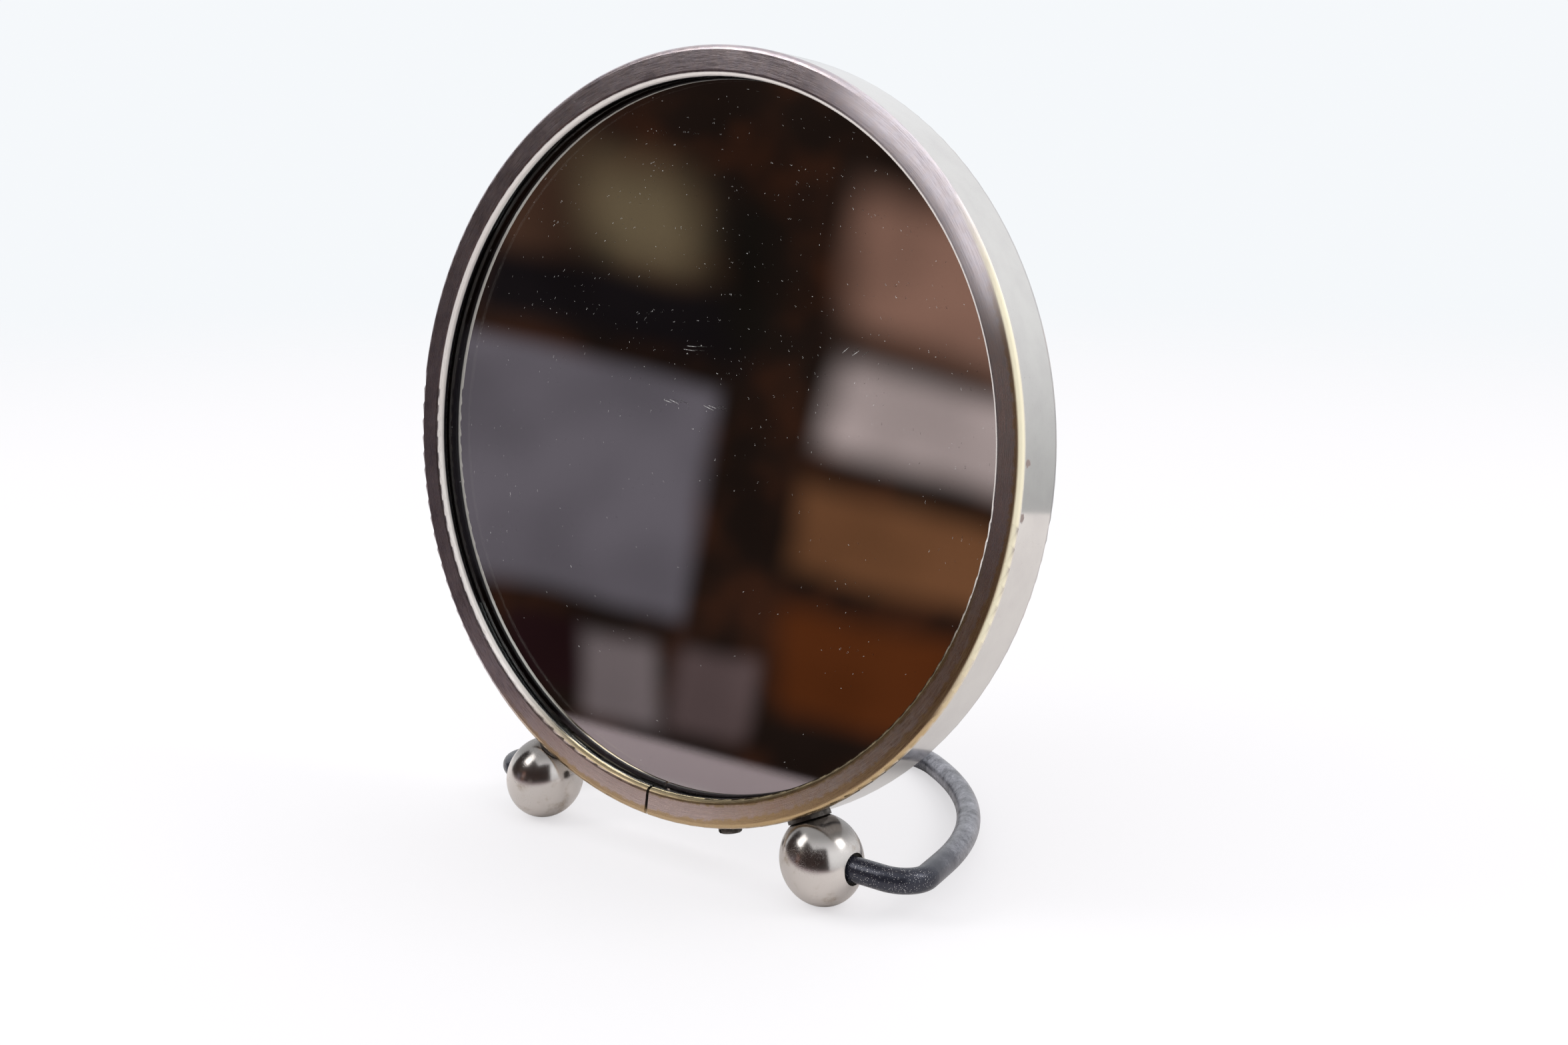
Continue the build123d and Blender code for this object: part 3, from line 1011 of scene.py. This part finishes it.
# Soft patches of the room: middle, half size and blur in millimetres, slant and colour.
ROOM_PATCHES = (
    ((-245, 285), (45, 75), 38, (0.0, 0.0), (0.062, 0.03, 0.02)),
    ((-138, 288), (50, 44), 26, (-0.3, -0.05), (0.12, 0.087, 0.053)),
    ((-150, 210), (120, 30), 14, (0.0, -0.08), (0.008, 0.006, 0.007)),
    ((-40, 250), (22, 70), 18, (-0.1, 0.0), (0.008, 0.006, 0.005)),
    ((-180, 58), (126, 102), 11, (0.02, -0.1), (0.125, 0.108, 0.13)),
    ((-170, -98), (34, 30), 9, (-0.1, -0.05), (0.016, 0.006, 0.007)),
    ((-103, -114), (34, 36), 11, (-0.15, -0.05), (0.155, 0.122, 0.13)),
    ((-20, -116), (36, 36), 11, (0.1, -0.05), (0.1, 0.066, 0.068)),
    ((160, 262), (112, 60), 20, (0.0, -0.15), (0.24, 0.125, 0.095)),
    ((150, 138), (105, 40), 16, (0.1, -0.12), (0.42, 0.33, 0.33)),
    ((128, 30), (98, 38), 14, (0.04, -0.1), (0.155, 0.064, 0.03)),
    ((118, -84), (84, 46), 14, (-0.05, -0.08), (0.085, 0.022, 0.0065)),
)

# Table as reflections see it, in metres: a strip of floor with a shaded front part.
TABLE_FRONT = -0.165
TABLE_BACK = 0.255
TABLE_EDGE_BLUR = 0.012
TABLE_SHADE = (-0.125, -0.08)
TABLE_DARK = (0.29, 0.225, 0.235)
TABLE_LIGHT = (0.8, 0.76, 0.74)
# Floor as the camera sees it: fades out far away, and is part paint, part even glow.
FLOOR_HALF_SIZE = 2.0
FLOOR_FADE = (0.55, 1.4)
FLOOR_PAINT_SHARE = 0.43
FLOOR_GLOW = (0.575, 0.565, 0.575)
BLACK = (0.0, 0.0, 0.0)

# Windows of light: directions from the mirror, right, up and towards the camera.
WINDOW_DIRECTIONS = ((-0.72, 0.62, 0.28), (0.70, 0.63, 0.30))
WINDOW_ASPECT = 1.3
WINDOW_TARGET_HEIGHT = 0.03
WORLD_LOW = (0.56, 0.57, 0.58)
WORLD_HIGH = (1.0, 1.02, 1.05)
WORLD_RISE = (-0.3, 0.4)
SENSOR_WIDTH = 36.0
CLIP_START = 0.01


class MIRROR_OT_build_stage(bpy.types.Operator):
    """Lay the pale floor, hang the lights and the room, and set the camera"""

    bl_idname = "mirror.build_stage"
    bl_label = "Build Stage"

    def lay_floor(self, settings):
        w = Finish("stage_floor")
        rays = w.node("ShaderNodeLightPath").outputs
        direct = w.larger(rays["Is Camera Ray"], rays["Is Diffuse Ray"])
        rearwards = w.separate(w.place)[1]
        far = w.ramp(w.vector("LENGTH", w.place, output="Value"), *FLOOR_FADE)
        edge = (TABLE_FRONT - TABLE_EDGE_BLUR, TABLE_FRONT + TABLE_EDGE_BLUR)
        front_edge = w.ramp(rearwards, *edge)
        on_table = w.times(front_edge, w.math("LESS_THAN", rearwards, TABLE_BACK))
        off_table = w.minus(1.0, on_table)
        reflected = w.mix(w.ramp(rearwards, *TABLE_SHADE), TABLE_DARK, TABLE_LIGHT)
        colour = w.mix(direct, reflected, settings.floor)
        cut = w.mix(direct, off_table, far, "FLOAT")
        seen = rays["Is Camera Ray"]
        dimmed = w.scaled(colour, w.ramp(seen, 0.0, 1.0, 1.0, FLOOR_PAINT_SHARE, smooth=False))
        glow = w.mix(seen, BLACK, FLOOR_GLOW)
        matt = w.node("ShaderNodeBsdfDiffuse", {"Color": dimmed}).outputs[0]
        bright = w.node("ShaderNodeEmission", {"Color": glow}).outputs[0]
        white = w.node("ShaderNodeAddShader", {0: matt, 1: bright}).outputs[0]
        clear = w.node("ShaderNodeBsdfTransparent").outputs[0]
        material = w.show(w.node("ShaderNodeMixShader", {0: cut, 1: white, 2: clear}).outputs[0])
        mesh = bmesh.new()
        bmesh.ops.create_grid(mesh, x_segments=1, y_segments=1, size=FLOOR_HALF_SIZE)
        piece_from("floor", mesh, material)

    def room_material(self, middle):
        """Dim glowing patches, placed on the wall from its foot."""
        w = Finish("stage_room")
        shine = w.node("ShaderNodeEmission")
        away = w.vector("SUBTRACT", w.place, middle)
        sideways = w.times(w.vector("DOT_PRODUCT", away, ROOM_ALONG, "Value"), 1 / MM)
        height = w.times(w.separate(w.place)[2], 1 / MM)
        point = w.combine(sideways, height, 0.0)
        broad = w.noise(w.scaled(point, 0.011))
        colour = w.mix(w.ramp(broad, 0.4, 0.7), ROOM_DARK, ROOM_BROWN)
        drift = w.noise(w.scaled(point, 0.01), detail=0.0, output="Color")
        drift = w.scaled(w.vector("SUBTRACT", drift, (0.5, 0.5, 0.5)), PATCH_DRIFT)
        bent = w.vector("ADD", point, drift)
        for centre, half, blur, slant, shade in ROOM_PATCHES:
            mask = w.effect(
                "Soft Patch",
                Point=bent,
                Centre=(*centre, 0.0),
                Half_Size=(*half, 0.0),
                Blur=PATCH_SOFTNESS * blur,
                Slant=(*slant, 0.0),
            )
            colour = w.mix(mask, colour, shade)
        uneven = w.ramp(w.noise(w.scaled(point, 0.009), detail=1.0), 0.3, 0.7, 0.9, 1.2)
        w.feed(shine.inputs["Color"], w.scaled(colour, uneven))
        return w.show(shine.outputs[0])

    def hang_room(self):
        """Two glowing walls that only reflections see."""
        middle = Vector((0.0, HOOP_CENTRE.y, 0.0)) + ROOM_TOWARDS * ROOM_DISTANCE
        material = self.room_material(middle)
        mesh = bmesh.new()
        corner = middle - ROOM_ALONG * ROOM_HALF_WIDTH
        low, high = (corner + Vector((0, 0, z)) for z in (ROOM_BOTTOM, ROOM_TOP))
        end = mesh.edges.new([mesh.verts.new(low), mesh.verts.new(high)])
        for run in (ROOM_ALONG * 2 * ROOM_HALF_WIDTH, SIDE_WALL_ALONG * SIDE_WALL_WIDTH):
            wall = bmesh.ops.extrude_edge_only(mesh, edges=[end])["geom"]
            corners = [v for v in wall if isinstance(v, bmesh.types.BMVert)]
            bmesh.ops.translate(mesh, verts=corners, vec=run)
            edges = [e for e in wall if isinstance(e, bmesh.types.BMEdge)]
            end = next(e for e in edges if set(e.verts) == set(corners))
        room = piece_from("room", mesh, material)
        room.visible_camera = False
        room.visible_diffuse = False
        room.visible_shadow = False

    def hang_windows(self, settings):
        for number, (x, y, z) in enumerate(WINDOW_DIRECTIONS, 1):
            light = bpy.data.lights.new(f"window_{number}", "AREA")
            light.shape = "RECTANGLE"
            light.size = settings.window_size
            light.size_y = settings.window_size * WINDOW_ASPECT
            light.energy = settings.window_power
            window = bpy.data.objects.new(light.name, light)
            direction = CAMERA_RIGHT * x + CAMERA_UP * y - CAMERA_VIEW * z
            target = Vector((0, HOOP_CENTRE.y, WINDOW_TARGET_HEIGHT))
            window.location = target + direction.normalized() * settings.window_distance
            window.rotation_euler = direction.to_track_quat("Z", "Y").to_euler()
            window.visible_camera = False
            bpy.context.scene.collection.objects.link(window)

    def light_world(self, settings):
        world = bpy.data.worlds.new("studio")
        world.use_nodes = True
        bpy.context.scene.world = world
        w = Wiring(world.node_tree)
        direction = w.node("ShaderNodeTexCoord").outputs["Generated"]
        rise = w.ramp(w.separate(direction)[2], *WORLD_RISE)
        wall = w.mix(rise, WORLD_LOW, WORLD_HIGH)
        camera = w.node("ShaderNodeLightPath").outputs["Is Camera Ray"]
        background = world.node_tree.nodes["Background"]
        w.feed(background.inputs["Color"], w.mix(camera, wall, settings.backdrop))

    def set_camera(self, settings):
        data = bpy.data.cameras.new("camera")
        data.lens = settings.lens
        data.sensor_width = SENSOR_WIDTH
        data.clip_start = CLIP_START
        camera = bpy.data.objects.new("camera", data)
        place = Matrix((CAMERA_RIGHT, CAMERA_UP, -CAMERA_VIEW)).transposed().to_4x4()
        place.translation = HOOP_CENTRE + Vector(settings.camera_place)
        camera.matrix_world = place
        bpy.context.scene.collection.objects.link(camera)
        bpy.context.scene.camera = camera

    def execute(self, context):
        settings = context.scene.counter_mirror.stage
        context.scene.view_settings.view_transform = "Standard"
        self.lay_floor(settings)
        self.hang_room()
        self.hang_windows(settings)
        self.light_world(settings)
        self.set_camera(settings)
        return {"FINISHED"}


OPERATORS = (
    MIRROR_OT_finish_hoop,
    MIRROR_OT_finish_glass,
    MIRROR_OT_add_marks,
    MIRROR_OT_finish_feet,
    MIRROR_OT_finish_stand,
    MIRROR_OT_finish_back,
    MIRROR_OT_build_stage,
)


class MIRROR_PT_sidebar(bpy.types.Panel):
    """Lists the steps that finish the countertop mirror"""

    bl_idname = "MIRROR_PT_sidebar"
    bl_label = "Countertop Mirror"
    bl_space_type = "VIEW_3D"
    bl_region_type = "UI"
    bl_category = "Mirror"

    def draw(self, context):
        for operator in OPERATORS:
            self.layout.operator(operator.bl_idname)


CLASSES = (
    HoopFinish,
    GlassFinish,
    FeetFinish,
    StandFinish,
    BackFinish,
    StageSetup,
    MirrorSettings,
    *OPERATORS,
    MIRROR_PT_sidebar,
)


def register():
    for cls in CLASSES:
        bpy.utils.register_class(cls)
    bpy.types.Scene.counter_mirror = PointerProperty(type=MirrorSettings)


def unregister():
    del bpy.types.Scene.counter_mirror
    for cls in reversed(CLASSES):
        bpy.utils.unregister_class(cls)


def main():
    register()
    for step in (
        bpy.ops.mirror.finish_hoop,
        bpy.ops.mirror.finish_glass,
        bpy.ops.mirror.add_marks,
        bpy.ops.mirror.finish_feet,
        bpy.ops.mirror.finish_stand,
        bpy.ops.mirror.finish_back,
        bpy.ops.mirror.build_stage,
    ):
        step()


if __name__ == "__main__":
    main()
